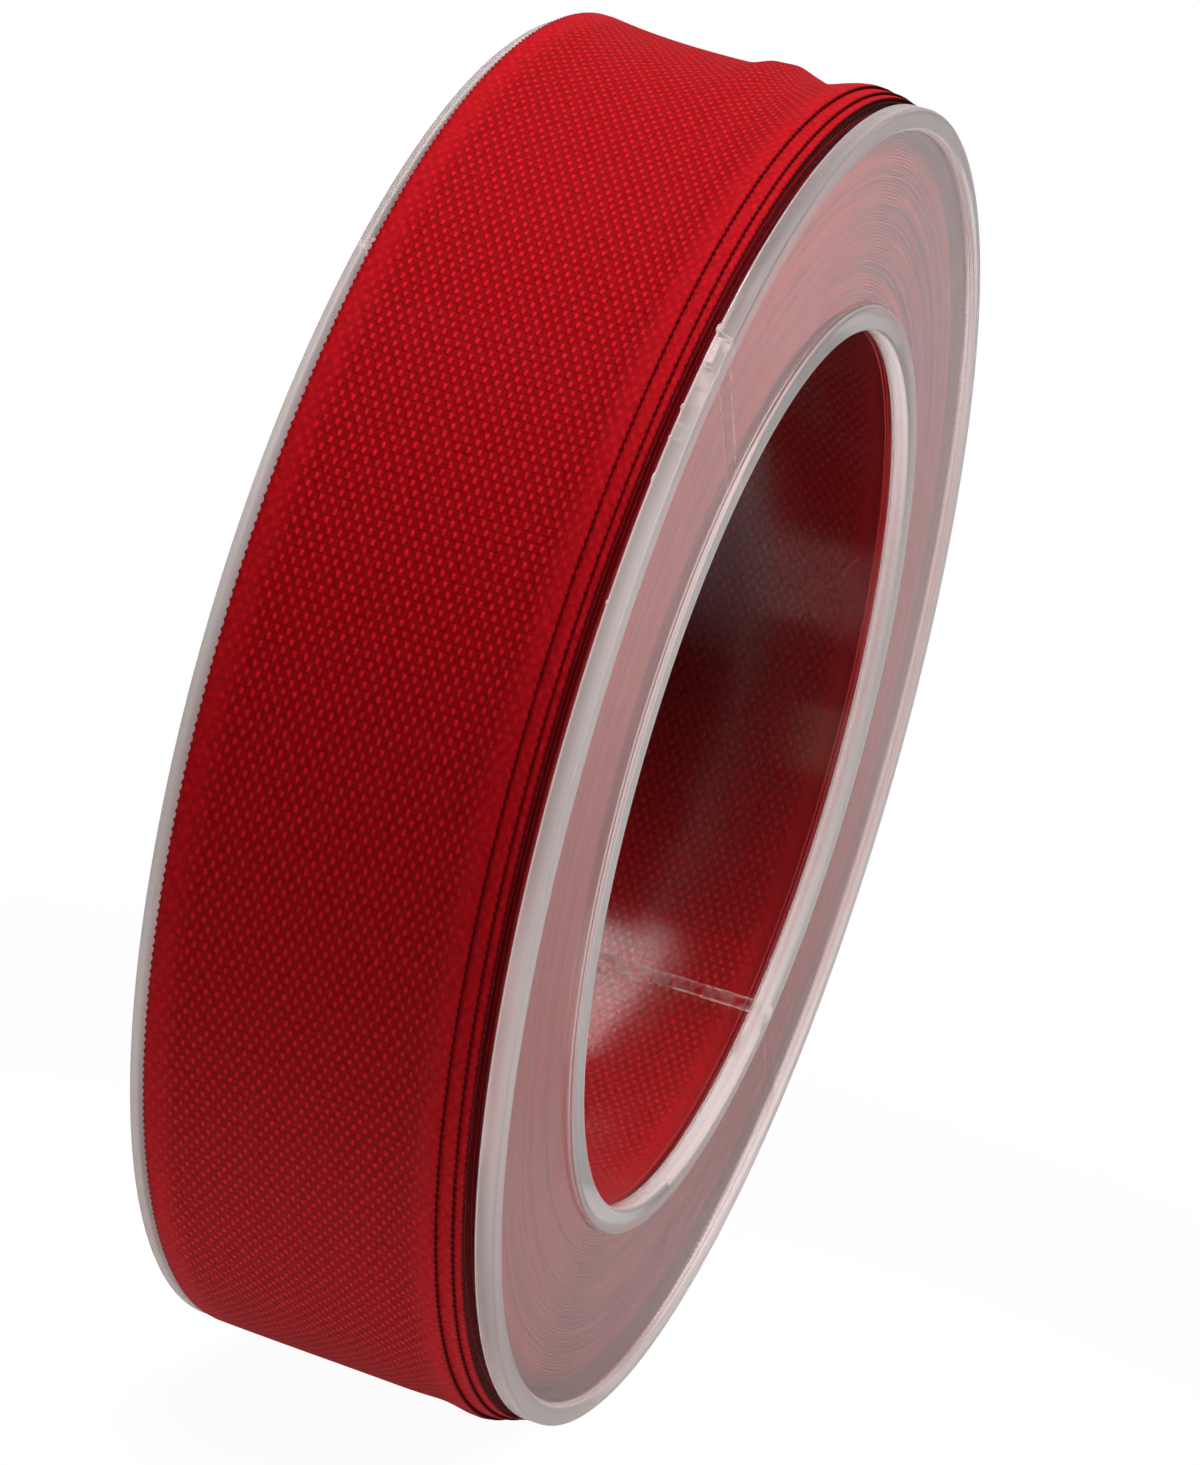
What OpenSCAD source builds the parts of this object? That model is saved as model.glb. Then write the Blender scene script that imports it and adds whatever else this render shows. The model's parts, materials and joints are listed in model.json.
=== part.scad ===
// Ribbon spool: a clear moulded ring spool, wound with one length of woven ribbon.
// The spool turns about Y. +Z is up, the front flange faces -Y, and the origin is
// the centre of the bore. Angles round the spool run from +X towards +Z.

/* [Spool] */
// Outside diameter of the two flanges
spool_d = 115; // [100:1:130]
// Diameter of the bore through the hub
bore_d = 77; // [70:1:80]
// Width over the raised rims of both flanges
spool_w = 31; // [30:0.5:36]
// Wall of the hub
hub_wall = 1.4; // [1.2:0.1:2]
// Thickness of a flange between its rim and its lip
web_t = 1.3; // [1:0.1:1.6]
// Height that the rim and the lip stand above the flange
bead_h = 0.4; // [0.2:0.1:0.8]
// Radial width of the raised rim
rim_w = 1.8; // [1.4:0.1:3]
// Radial width of the raised lip round the bore
lip_w = 2.1; // [1.4:0.1:3]
// Corner radius of the rim and the lip
bead_r = 0.3; // [0.1:0.05:0.4]

/* [Joint between the half shells] */
// Angle of the plane where the two half shells meet
seam_angle = 138.5; // [0:0.5:180]
// Angle that each half shell reaches under the other
lap_angle = 2.2; // [1.5:0.1:4]
// Gap left all round the lap for the solvent weld
weld_gap = 0.04; // [0.02:0.01:0.1]

/* [Ribbon] */
// Width of the ribbon
ribbon_w = 25; // [24:0.1:25]
// Radial space taken by one turn
turn_t = 0.28; // [0.26:0.01:0.3]
// Number of wound turns, the free end's turn included
turns = 65; // [50:1:66]
// Distance from the spool's middle to the coil's edge nearest the front flange
coil_front = 13; // [12.5:0.1:13.2]
// Sideways step between the last turns, away from the front flange
turn_step = 0.85; // [0:0.05:0.85]

/* [Free end] */
// Angle where the free end leaves the coil when it is lifted
lift_angle = 5; // [-10:1:30]
// Angle of the free end's cut edge
cut_angle = -30; // [-50:1:-25]
// Width of the clear tape that holds the free end down
end_tape_w = 12; // [8:1:20]
// Length of the clear tape round the coil
end_tape_len = 16; // [12:1:20]
// Thickness of both tapes
tape_t = 0.1; // [0.08:0.01:0.12]
// Width of the tape that fixes the ribbon's inner end to the hub
start_tape_w = 15; // [8:1:20]
// Length of the inner tape round the hub
start_tape_len = 18; // [10:1:30]
// Angle of the middle of the inner tape
start_tape_angle = 190; // [150:1:230]

/* [Hidden] */

spool_r = spool_d / 2;
bore_r = bore_d / 2;
half_w = spool_w / 2;
hub_r = bore_r + hub_wall;
face_y = half_w - bead_h;          // outer face of a flange
inner_y = face_y - web_t;          // inner face of a flange
lap_t = web_t / 2;                 // a lap takes half the wall
slip = 0.05;                       // clear space between layers that only touch
coil_r0 = hub_r + tape_t + 2 * slip;
last_r = coil_r0 + turns * turn_t; // outside of the outer turn
second_r = last_r - turn_t;        // outside of the turn below it
coil_r = second_r - turn_t;        // outside of every other turn
lift_r = last_r - turn_t / 2;      // radius of the free end's bend line
end_gap = 0.3;                     // gap between the outer turn and the free end
end_tape_r = last_r + slip;

clear_plastic = [0.92, 0.88, 0.87, 0.35];
ribbon_red = [0.78, 0.10, 0.13];
tape_clear = [0.95, 0.94, 0.90, 0.5];
tape_cream = [0.93, 0.90, 0.80];

$fn = 180;

// Arc length on radius r as an angle
function arc(length, r) = length / r * 180 / PI;

// Turns a shape built about Z so that it lies about Y, front towards -Y
module about_y() rotate([90, 0, 0]) children();

// A block with its long corners rounded, from x0 to x1 and y0 to y1
module rounded_bar(x0, x1, y0, y1, r) {
  translate([x0 + r, y0]) square([x1 - x0 - 2 * r, y1 - y0]);
  translate([x0, y0 + r]) square([x1 - x0, y1 - y0 - 2 * r]);
  for (x = [x0 + r, x1 - r], y = [y0 + r, y1 - r])
    translate([x, y]) circle(r, $fn = 24);
}

// One flange in section: the web with its raised rim and lip
module flange_section() {
  translate([bore_r + lip_w / 2, inner_y])
    square([spool_r - bore_r - (lip_w + rim_w) / 2, web_t]);
  rounded_bar(spool_r - rim_w, spool_r, inner_y, half_w, bead_r);
  rounded_bar(bore_r, bore_r + lip_w, inner_y, half_w, bead_r);
}

// The whole spool in section: two flanges and the hub between them
module spool_section() {
  flange_section();
  mirror([0, 1]) flange_section();
  translate([bore_r, -face_y]) square([hub_wall, 2 * face_y]);
}

// The ribbon's channel in section, sunk into the walls round it by t
module channel_section(t)
  translate([hub_r - t, -inner_y - t])
    square([spool_r - rim_w / 2 - hub_r + t, 2 * (inner_y + t)]);

// All of the section's surroundings outside the sunk channel
module outside_section(t) difference() {
  translate([bore_r - 1, -half_w - 1]) square([spool_r - bore_r + 2, spool_w + 2]);
  channel_section(t);
}

// A ring about Z from angle a0 to a1, with its section given as a child
module ring_part(a0, a1) rotate([0, 0, a0]) rotate_extrude(angle = a1 - a0) children();

// A closed band: part of a thin ring between two radii and two places on Y
module band(r0, r1, front, back, a0, a1)
  ring_part(a0, a1) translate([r0, back]) square([r1 - r0, front - back]);

// One of the two identical half shells. Its first end is cut away inside, and its
// last end outside, so that each end laps with the other shell's.
module half_shell() {
  gap = arc(weld_gap, spool_r);
  difference() {
    ring_part(gap / 2, 180 + lap_angle - gap) spool_section();
    ring_part(-1, lap_angle) channel_section(lap_t);
    ring_part(180 - gap / 2, 181 + lap_angle) outside_section(lap_t - weld_gap);
  }
}

module upper_half_shell()
  color(clear_plastic) about_y() rotate([0, 0, seam_angle - 180]) half_shell();

module lower_half_shell()
  color(clear_plastic) about_y() rotate([0, 0, seam_angle]) half_shell();

// Double-sided tape between the hub and the first turn
module start_tape() {
  reach = arc(start_tape_len, hub_r) / 2;
  color(tape_cream) about_y()
    band(hub_r + slip, hub_r + slip + tape_t, start_tape_w / 2, -start_tape_w / 2,
         start_tape_angle - reach, start_tape_angle + reach);
}

// Every turn below the last two
module ribbon_coil()
  color(ribbon_red) about_y() difference() {
    translate([0, 0, coil_front - ribbon_w]) cylinder(h = ribbon_w, r = coil_r);
    translate([0, 0, coil_front - ribbon_w - 1]) cylinder(h = ribbon_w + 2, r = coil_r0);
  }

// The turn below the outer one, one step nearer the back flange than the coil
module second_turn() {
  front = coil_front - turn_step;
  color(ribbon_red) about_y() difference() {
    translate([0, 0, front - ribbon_w]) cylinder(h = ribbon_w, r = second_r);
    translate([0, 0, front - ribbon_w - 1]) cylinder(h = ribbon_w + 2, r = coil_r);
  }
}

// The last turn, from where the free end lifts to where it lands again under the cut edge
module outer_turn() {
  front = coil_front - 2 * turn_step;
  color(ribbon_red) about_y()
    band(second_r, last_r, front, front - ribbon_w,
         lift_angle + arc(2 / 3 * end_gap, lift_r), 360 + cut_angle - arc(end_gap, lift_r));
}

// The length of ribbon that lifts off the coil
module free_end() {
  front = coil_front - 2 * turn_step;
  color(ribbon_red) about_y()
    band(second_r + slip, last_r, front, front - ribbon_w,
         cut_angle, lift_angle - arc(end_gap / 3, lift_r));
}

// Clear tape across the cut edge, stuck half on the free end and half on the coil
module end_tape() {
  middle = coil_front - 2 * turn_step - ribbon_w / 2;
  reach = arc(end_tape_len, end_tape_r) / 2;
  color(tape_clear) about_y()
    band(end_tape_r, end_tape_r + tape_t, middle + end_tape_w / 2, middle - end_tape_w / 2,
         cut_angle - reach, cut_angle + reach);
}

upper_half_shell();
lower_half_shell();
start_tape();
ribbon_coil();
second_turn();
outer_turn();
free_end();
end_tape();
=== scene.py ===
"""A clear ring spool wound with red taffeta ribbon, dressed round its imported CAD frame.

The spool turns about Y and its front flange faces -Y. A place on it is given by its
angle from +X towards +Z, its radius, and its reach: how far it lies towards the front
flange. A place on the ribbon is given by its turn, which is 0 at the cut edge and grows
inwards, and its distance across. These sizes are in millimetres until a mesh is made.
"""

import json
import logging
import math
from dataclasses import dataclass, field
from enum import Enum

import bmesh
import bpy
import numpy as np
from mathutils import Matrix, Vector


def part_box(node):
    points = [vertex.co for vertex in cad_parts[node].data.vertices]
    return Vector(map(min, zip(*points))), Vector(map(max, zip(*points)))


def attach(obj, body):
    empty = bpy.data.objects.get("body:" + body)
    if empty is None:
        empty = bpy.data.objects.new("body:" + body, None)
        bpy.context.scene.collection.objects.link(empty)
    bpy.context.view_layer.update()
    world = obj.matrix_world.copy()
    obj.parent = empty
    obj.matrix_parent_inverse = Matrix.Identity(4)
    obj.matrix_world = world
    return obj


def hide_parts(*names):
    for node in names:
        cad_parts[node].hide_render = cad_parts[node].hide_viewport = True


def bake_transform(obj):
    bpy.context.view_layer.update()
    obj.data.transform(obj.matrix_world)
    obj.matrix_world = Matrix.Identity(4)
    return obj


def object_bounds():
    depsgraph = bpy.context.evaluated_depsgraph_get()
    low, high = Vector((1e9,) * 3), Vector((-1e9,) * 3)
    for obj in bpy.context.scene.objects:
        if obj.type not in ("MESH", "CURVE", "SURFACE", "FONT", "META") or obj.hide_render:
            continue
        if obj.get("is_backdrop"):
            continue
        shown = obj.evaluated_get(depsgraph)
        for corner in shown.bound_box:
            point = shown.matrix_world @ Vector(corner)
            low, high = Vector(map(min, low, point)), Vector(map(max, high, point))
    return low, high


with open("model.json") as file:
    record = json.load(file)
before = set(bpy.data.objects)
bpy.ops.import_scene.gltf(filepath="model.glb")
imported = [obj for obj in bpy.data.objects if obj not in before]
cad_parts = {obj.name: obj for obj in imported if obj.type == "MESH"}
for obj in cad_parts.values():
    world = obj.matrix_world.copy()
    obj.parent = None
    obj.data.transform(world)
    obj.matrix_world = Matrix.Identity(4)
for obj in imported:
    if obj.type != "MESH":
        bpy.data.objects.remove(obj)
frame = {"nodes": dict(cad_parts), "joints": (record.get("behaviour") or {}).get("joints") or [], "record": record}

MM = 0.001
CAD_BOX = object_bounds()
LOG = logging.getLogger("ribbon_spool")

WHITE = (1.0, 1.0, 1.0, 1.0)
# how strongly large faces pull the shading of their corners flat
FLAT_WEIGHT = 90


class Body(Enum):
    """The rigid bodies of the frame that pieces ride on."""

    SPOOL = "spool"
    FREE_END = "free_end"


class Slot(Enum):
    """The record's material slots."""

    CLEAR_POLYSTYRENE = "clear_polystyrene"
    RED_TAFFETA = "red_taffeta"
    CLEAR_TAPE = "clear_tape"
    CREAM_TAPE = "cream_tape"


def linear(hex_colour: str) -> tuple[float, float, float, float]:
    """Turn an sRGB hex colour into a linear RGBA one.

    Args:
        hex_colour: six hex digits after a hash, such as "#C81B23".

    Returns:
        Red, green and blue from 0 to 1, linear, with an alpha of 1.
    """
    channels = [int(hex_colour[i : i + 2], 16) / 255 for i in (1, 3, 5)]
    low = [c / 12.92 if c <= 0.04045 else ((c + 0.055) / 1.055) ** 2.4 for c in channels]
    return (*low, 1.0)


def add_node(
    tree: bpy.types.NodeTree, kind: str, links: dict | None = None, **settings: object
) -> bpy.types.Node:
    """Add one shader node.

    Args:
        tree: the node tree that takes the node.
        kind: the node's type name after "ShaderNode", such as "Math".
        links: input name or number to a socket to link, a node whose first output is
            linked, or a plain value.
        **settings: properties of the node, such as operation="SINE".

    Returns:
        The new node.
    """
    made = tree.nodes.new("ShaderNode" + kind)
    for name, value in settings.items():
        setattr(made, name, value)
    for place, value in (links or {}).items():
        if isinstance(value, bpy.types.Node):
            value = value.outputs[0]
        if isinstance(value, bpy.types.NodeSocket):
            tree.links.new(value, made.inputs[place])
        else:
            made.inputs[place].default_value = value
    return made


def empty_material(name: str) -> bpy.types.Material:
    """Make a material with no nodes in its tree."""
    made = bpy.data.materials.new(name)
    made.use_nodes = True
    made.node_tree.nodes.clear()
    return made


def smooth(x: np.ndarray, low: float, high: float) -> np.ndarray:
    """Give a smooth step from 0 at low to 1 at high."""
    t = np.clip((x - low) / (high - low), 0.0, 1.0)
    return t * t * (3.0 - 2.0 * t)


def bump(x: np.ndarray, middle: float | np.ndarray, half_width: float) -> np.ndarray:
    """Give a bell of height 1 at middle that fades over half_width."""
    return np.exp(-(((x - middle) / half_width) ** 2))


def angle_bump(degrees: np.ndarray, middle: float, half_width: float) -> np.ndarray:
    """Give a bell round the circle, of height 1 at the angle middle."""
    return np.exp(-(((degrees - middle + 180.0) % 360.0 - 180.0) / half_width) ** 2)


def on_spool(
    radius: float | np.ndarray, reach: float | np.ndarray, degrees: float | np.ndarray
) -> np.ndarray:
    """Turn radius, reach and angle into rows of x, y and z in metres."""
    turn = np.radians(degrees)
    reach = reach + 0.0 * turn
    return MM * np.stack([radius * np.cos(turn), -reach, radius * np.sin(turn)], axis=-1)


# ---------------------------------------------------------------------------
# Finishes
# ---------------------------------------------------------------------------


@dataclass(frozen=True)
class CrystalPolystyrene:
    """Crystal polystyrene, injection moulded: clear and glossy, with faint flow rings.

    Its high index gives the eye bright rims and strong mirror-like flanges at a low
    angle. Lamps shine through it, so the ribbon inside is lit.
    """

    name: str = "crystal_polystyrene"
    tint: str = "#FBF3F2"
    lamp_tint: str = "#E6D6D4"
    haze_colour: str = "#EEEAE8"
    # painted light: the web's haze is pink for the ribbon's red light behind it; the plastic is clear
    web_painted_red_light_colour: str = "#EBA8A6"
    web_haze: float = 0.3
    web_streaks: float = 0.2
    rim_haze: float = 0.82
    lip_haze: float = 0.85
    haze_let_through: float = 0.35
    # painted light: more haze at the sides, less above and below
    painted_side_light_mm: tuple[float, float] = (14.0, 46.0)
    painted_light_above_below: float = 0.42
    flange_mm: float = 15.0
    rim_start_mm: float = 13.9
    flange_fade_mm: float = 0.8
    rim_mm: float = 55.8
    lip_mm: float = 40.5
    bead_fade_mm: float = 0.4
    ior: float = 1.59
    roughness: float = 0.05
    hub_mm: float = 39.9
    hub_fade_mm: float = 0.6
    hub_roughness: float = 0.1
    ring_mm: float = 2.2
    ring_height_mm: float = 0.004
    wave_mm: float = 11.0
    wave_height_mm: float = 0.03

    def material(self) -> bpy.types.Material:
        """Build the clear plastic, its rings and waves, and the haze of its flanges."""
        made = empty_material(self.name)
        tree = made.node_tree
        place = add_node(tree, "TexCoord").outputs["Object"]
        flat = add_node(tree, "VectorMath", {0: place, 1: (1.0, 0.0, 1.0)}, operation="MULTIPLY")
        radius = add_node(tree, "VectorMath", {0: flat}, operation="LENGTH").outputs["Value"]
        rings = add_node(
            tree,
            "TexNoise",
            {"W": radius, "Scale": 1.0 / (self.ring_mm * MM), "Detail": 2.0},
            noise_dimensions="1D",
        )
        waves = add_node(
            tree, "TexNoise", {"Vector": place, "Scale": 1.0 / (self.wave_mm * MM), "Detail": 1.0}
        )
        ring_relief = add_node(
            tree, "Bump", {"Height": rings, "Distance": self.ring_height_mm * MM}
        )
        relief = add_node(
            tree,
            "Bump",
            {"Height": waves, "Distance": self.wave_height_mm * MM, "Normal": ring_relief},
        )
        # the core pin of the mould is duller than its faces, so the hub is a little frosted
        frost = add_node(
            tree,
            "MapRange",
            {
                "Value": radius,
                "From Min": (self.hub_mm + self.hub_fade_mm) * MM,
                "From Max": self.hub_mm * MM,
                "To Min": self.roughness,
                "To Max": self.hub_roughness,
            },
        )
        clear = add_node(
            tree,
            "BsdfPrincipled",
            {
                "Base Color": linear(self.tint),
                "Roughness": frost,
                "IOR": self.ior,
                "Transmission Weight": 1.0,
                "Normal": relief,
            },
        )
        # the flanges scatter some light, most of all in the thick rim and lip
        axes = add_node(tree, "SeparateXYZ", {"Vector": place})
        reach = add_node(tree, "Math", {0: axes.outputs["Y"]}, operation="ABSOLUTE")
        in_flange, in_rim = (
            add_node(
                tree,
                "MapRange",
                {
                    "Value": reach,
                    "From Min": (start - self.flange_fade_mm) * MM,
                    "From Max": start * MM,
                },
            )
            for start in (self.flange_mm, self.rim_start_mm)
        )
        rim, lip = (
            add_node(
                tree,
                "MapRange",
                {
                    "Value": radius,
                    "From Min": low * MM,
                    "From Max": high * MM,
                    "To Max": most - self.web_haze,
                },
            )
            for low, high, most in (
                (self.rim_mm - self.bead_fade_mm, self.rim_mm, self.rim_haze),
                (self.lip_mm + self.bead_fade_mm, self.lip_mm, self.lip_haze),
            )
        )
        rim_only, lip_only = (
            add_node(tree, "Math", {0: bead, 1: where}, operation="MULTIPLY")
            for bead, where in ((rim, in_rim), (lip, in_flange))
        )
        beads = add_node(tree, "Math", {0: rim_only, 1: lip_only}, operation="ADD")
        streaked = add_node(
            tree,
            "MapRange",
            {
                "Value": rings,
                "From Min": 0.3,
                "From Max": 0.7,
                "To Min": (1.0 - self.web_streaks) * self.web_haze,
                "To Max": (1.0 + self.web_streaks) * self.web_haze,
            },
        )
        web = add_node(tree, "Math", {0: streaked, 1: in_flange}, operation="MULTIPLY")
        haze = add_node(tree, "Math", {0: beads, 1: web}, operation="ADD")
        # painted light: the haze is thickest at the sides and thins above and below, so the sides look brighter
        height = add_node(tree, "Math", {0: axes.outputs["Z"]}, operation="ABSOLUTE")
        painted_side_light = add_node(
            tree,
            "MapRange",
            {
                "Value": height,
                "From Min": self.painted_side_light_mm[0] * MM,
                "From Max": self.painted_side_light_mm[1] * MM,
                "To Min": 1.0,
                "To Max": self.painted_light_above_below,
            },
            interpolation_type="SMOOTHSTEP",
        )
        share = add_node(tree, "Math", {0: haze, 1: painted_side_light}, operation="MULTIPLY")
        in_bead = add_node(
            tree,
            "Math",
            {0: beads, 1: 1.0 / (self.rim_haze - self.web_haze)},
            operation="MULTIPLY",
        )
        # the web's haze is painted pink for the ribbon's red light; the haze of the beads is near white
        colour = add_node(
            tree,
            "Mix",
            {0: in_bead, 6: linear(self.web_painted_red_light_colour), 7: linear(self.haze_colour)},
            data_type="RGBA",
        ).outputs[2]
        white = add_node(tree, "BsdfDiffuse", {"Color": colour})
        through = add_node(tree, "BsdfTranslucent", {"Color": colour})
        scatter = add_node(tree, "MixShader", {0: self.haze_let_through, 1: white, 2: through})
        milky = add_node(tree, "MixShader", {0: share, 1: clear, 2: scatter})
        open_to_lamps = add_node(tree, "BsdfTransparent", {"Color": linear(self.lamp_tint)})
        to_lamp = add_node(tree, "LightPath").outputs["Is Shadow Ray"]
        mixed = add_node(tree, "MixShader", {0: to_lamp, 1: milky, 2: open_to_lamps})
        add_node(tree, "OutputMaterial", {"Surface": mixed})
        return made


@dataclass(frozen=True)
class SolventWeld:
    """The solvent-welded faces of the laps: the plastic runs through, with a faint haze."""

    name: str = "solvent_weld"
    haze_colour: str = "#E9DEDC"
    haze: float = 0.18
    streak_mm: float = 0.9

    def material(self) -> bpy.types.Material:
        """Build a clear face with patches of white haze where the weld is starved."""
        made = empty_material(self.name)
        tree = made.node_tree
        place = add_node(tree, "TexCoord").outputs["Object"]
        patches = add_node(
            tree, "TexNoise", {"Vector": place, "Scale": 1.0 / (self.streak_mm * MM), "Detail": 2.0}
        )
        share = add_node(
            tree,
            "MapRange",
            {"Value": patches, "From Min": 0.35, "From Max": 0.75, "To Max": 2.0 * self.haze},
        )
        through = add_node(tree, "BsdfTransparent", {"Color": WHITE})
        haze = add_node(tree, "BsdfTranslucent", {"Color": linear(self.haze_colour)})
        mixed = add_node(tree, "MixShader", {0: share, 1: through, 2: haze})
        add_node(tree, "OutputMaterial", {"Surface": mixed})
        return made


@dataclass(frozen=True)
class PolyesterTaffeta:
    """Polyester taffeta, plain woven: 22 warp ends and 13 picks to the centimetre.

    The warp floats stand up as small bright beads in a checkerboard over the weft, which is
    painted darker for the shade in the hollows between the floats, and the tight selvedges
    look smooth. Real taffeta is finer than this: its threads are
    drawn as coarse as they need to be to show.
    """

    name: str = "polyester_taffeta"
    float_colour: str = "#C4161D"
    # painted shade: the weft is coloured darker for the shade between the raised floats
    weft_painted_shade_colour: str = "#8A0A11"
    selvedge_colour: str = "#A61019"
    # painted shade and painted light on the cut edges of the turns
    painted_shade_edge_colour: str = "#3A0207"
    painted_light_edge_colour: str = "#E8434A"
    sheen_colour: str = "#E8303A"
    gloss_colour: str = "#FF4048"
    end_pitch_mm: float = 0.455
    pick_pitch_mm: float = 0.75
    skew_mm: float = 0.12
    bead_range: tuple[float, float] = (-0.05, 0.9)
    yarn_height_mm: float = 0.1
    fuzz_range: tuple[float, float] = (0.8, 1.18)
    width_mm: float = 25.0
    selvedge_mm: float = 2.0
    selvedge_fade_mm: tuple[float, float] = (-0.9, 1.1)
    selvedge_cover: float = 0.75
    edge_mm: tuple[float, float] = (0.2, 0.02)
    painted_light_edges_mm: tuple[float, float] = (4340.0, 6510.0)
    roughness: float = 0.55
    gloss: float = 0.1
    sheen: float = 0.06
    sheen_roughness: float = 0.4

    def material(self) -> bpy.types.Material:
        """Build the weave from the ribbon's own UV map, which is in millimetres."""
        made = empty_material(self.name)
        tree = made.node_tree
        place = add_node(tree, "UVMap", uv_map="ribbon_mm").outputs["UV"]
        # slow drift, so that the yarns are never quite straight
        drift = add_node(tree, "TexNoise", {"Vector": place, "Scale": 0.18, "Detail": 2.0})
        skew = add_node(
            tree,
            "MapRange",
            {
                "Value": drift,
                "From Min": 0.2,
                "From Max": 0.8,
                "To Min": -self.skew_mm,
                "To Max": self.skew_mm,
            },
        )
        split = add_node(tree, "SeparateXYZ", {"Vector": place})
        across, along = split.outputs["X"], split.outputs["Y"]
        waves = []
        for way, pitch in ((across, self.end_pitch_mm), (along, self.pick_pitch_mm)):
            moved = add_node(tree, "Math", {0: way, 1: skew}, operation="ADD")
            phase = add_node(tree, "Math", {0: moved, 1: math.pi / pitch}, operation="MULTIPLY")
            waves.append(add_node(tree, "Math", {0: phase}, operation="SINE"))
        checker = add_node(tree, "Math", {0: waves[0], 1: waves[1]}, operation="MULTIPLY")
        # a float is a bead on its cell, and the weft between floats lies lower; the weft's
        # darker colour is painted shade in the hollows between the floats
        beads = add_node(
            tree,
            "MapRange",
            {"Value": checker, "From Min": self.bead_range[0], "From Max": self.bead_range[1]},
            interpolation_type="SMOOTHSTEP",
        )
        from_middle = add_node(tree, "Math", {0: across}, operation="ABSOLUTE")
        half = self.width_mm / 2
        selvedge = add_node(
            tree,
            "MapRange",
            {
                "Value": from_middle,
                "From Min": half - self.selvedge_mm + self.selvedge_fade_mm[0],
                "From Max": half - self.selvedge_mm + self.selvedge_fade_mm[1],
                "To Max": self.selvedge_cover,
            },
            interpolation_type="SMOOTHSTEP",
        )
        woven = add_node(
            tree,
            "Mix",
            {0: beads, 6: linear(self.weft_painted_shade_colour), 7: linear(self.float_colour)},
            data_type="RGBA",
        ).outputs[2]
        whole = add_node(
            tree,
            "Mix",
            {0: selvedge, 6: woven, 7: linear(self.selvedge_colour)},
            data_type="RGBA",
        ).outputs[2]
        fuzz = add_node(tree, "TexNoise", {"Vector": place, "Scale": 1.6, "Detail": 3.0})
        shade = add_node(
            tree,
            "MapRange",
            {
                "Value": fuzz,
                "From Min": 0.3,
                "From Max": 0.7,
                "To Min": self.fuzz_range[0],
                "To Max": self.fuzz_range[1],
            },
        )
        varied = add_node(tree, "HueSaturation", {"Color": whole, "Value": shade})
        # painted shade and light: the front edges of the outer turns are painted dark for the shade
        # of the rim, and those of the deeper turns are painted bright for the light through the clear flange
        at_edge = add_node(
            tree,
            "MapRange",
            {
                "Value": across,
                "From Min": half - self.edge_mm[0],
                "From Max": half - self.edge_mm[1],
            },
        )
        painted_shade_share = add_node(
            tree,
            "MapRange",
            {
                "Value": along,
                "From Min": self.painted_light_edges_mm[0],
                "From Max": self.painted_light_edges_mm[1],
                "To Min": 1.0,
                "To Max": 0.0,
            },
        )
        painted_edge_colour = add_node(
            tree,
            "Mix",
            {0: painted_shade_share, 6: linear(self.painted_light_edge_colour), 7: linear(self.painted_shade_edge_colour)},
            data_type="RGBA",
        ).outputs[2]
        coloured = add_node(
            tree, "Mix", {0: at_edge, 6: varied, 7: painted_edge_colour}, data_type="RGBA"
        ).outputs[2]
        # the selvedge's yarns are packed tight, so it has little relief
        woven_share = add_node(tree, "Math", {0: 1.0, 1: selvedge}, operation="SUBTRACT")
        raised = add_node(tree, "Math", {0: beads, 1: woven_share}, operation="MULTIPLY")
        relief = add_node(tree, "Bump", {"Height": raised, "Distance": self.yarn_height_mm * MM})
        cloth = add_node(
            tree,
            "BsdfPrincipled",
            {
                "Base Color": coloured,
                "Roughness": self.roughness,
                "Specular IOR Level": self.gloss,
                "Specular Tint": linear(self.gloss_colour),
                "Sheen Weight": self.sheen,
                "Sheen Roughness": self.sheen_roughness,
                "Sheen Tint": linear(self.sheen_colour),
                "Normal": relief,
            },
        )
        add_node(tree, "OutputMaterial", {"Surface": cloth})
        return made


@dataclass(frozen=True)
class TapeFilm:
    """Adhesive tape: a thin film over a faintly uneven layer of glue."""

    name: str
    colour: str
    alpha: float
    roughness: float
    ior: float = 1.48
    mottle_mm: float = 1.6
    mottle_height_mm: float = 0.02

    def material(self) -> bpy.types.Material:
        """Build the film, with the glue's mottle in its relief and its gloss."""
        made = empty_material(self.name)
        tree = made.node_tree
        place = add_node(tree, "TexCoord").outputs["Object"]
        mottle = add_node(
            tree, "TexNoise", {"Vector": place, "Scale": 1.0 / (self.mottle_mm * MM), "Detail": 2.0}
        )
        relief = add_node(
            tree, "Bump", {"Height": mottle, "Distance": self.mottle_height_mm * MM}
        )
        gloss = add_node(
            tree,
            "MapRange",
            {"Value": mottle, "To Min": 0.6 * self.roughness, "To Max": 1.4 * self.roughness},
        )
        film = add_node(
            tree,
            "BsdfPrincipled",
            {
                "Base Color": linear(self.colour),
                "Roughness": gloss,
                "IOR": self.ior,
                "Alpha": self.alpha,
                "Normal": relief,
            },
        )
        add_node(tree, "OutputMaterial", {"Surface": film})
        return made


# ---------------------------------------------------------------------------
# Making pieces
# ---------------------------------------------------------------------------


def mesh_from(name: str, bm: bmesh.types.BMesh) -> bpy.types.Mesh:
    """Store a bmesh as a mesh and free it."""
    mesh = bpy.data.meshes.new(name)
    bm.to_mesh(mesh)
    bm.free()
    return mesh


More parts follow.
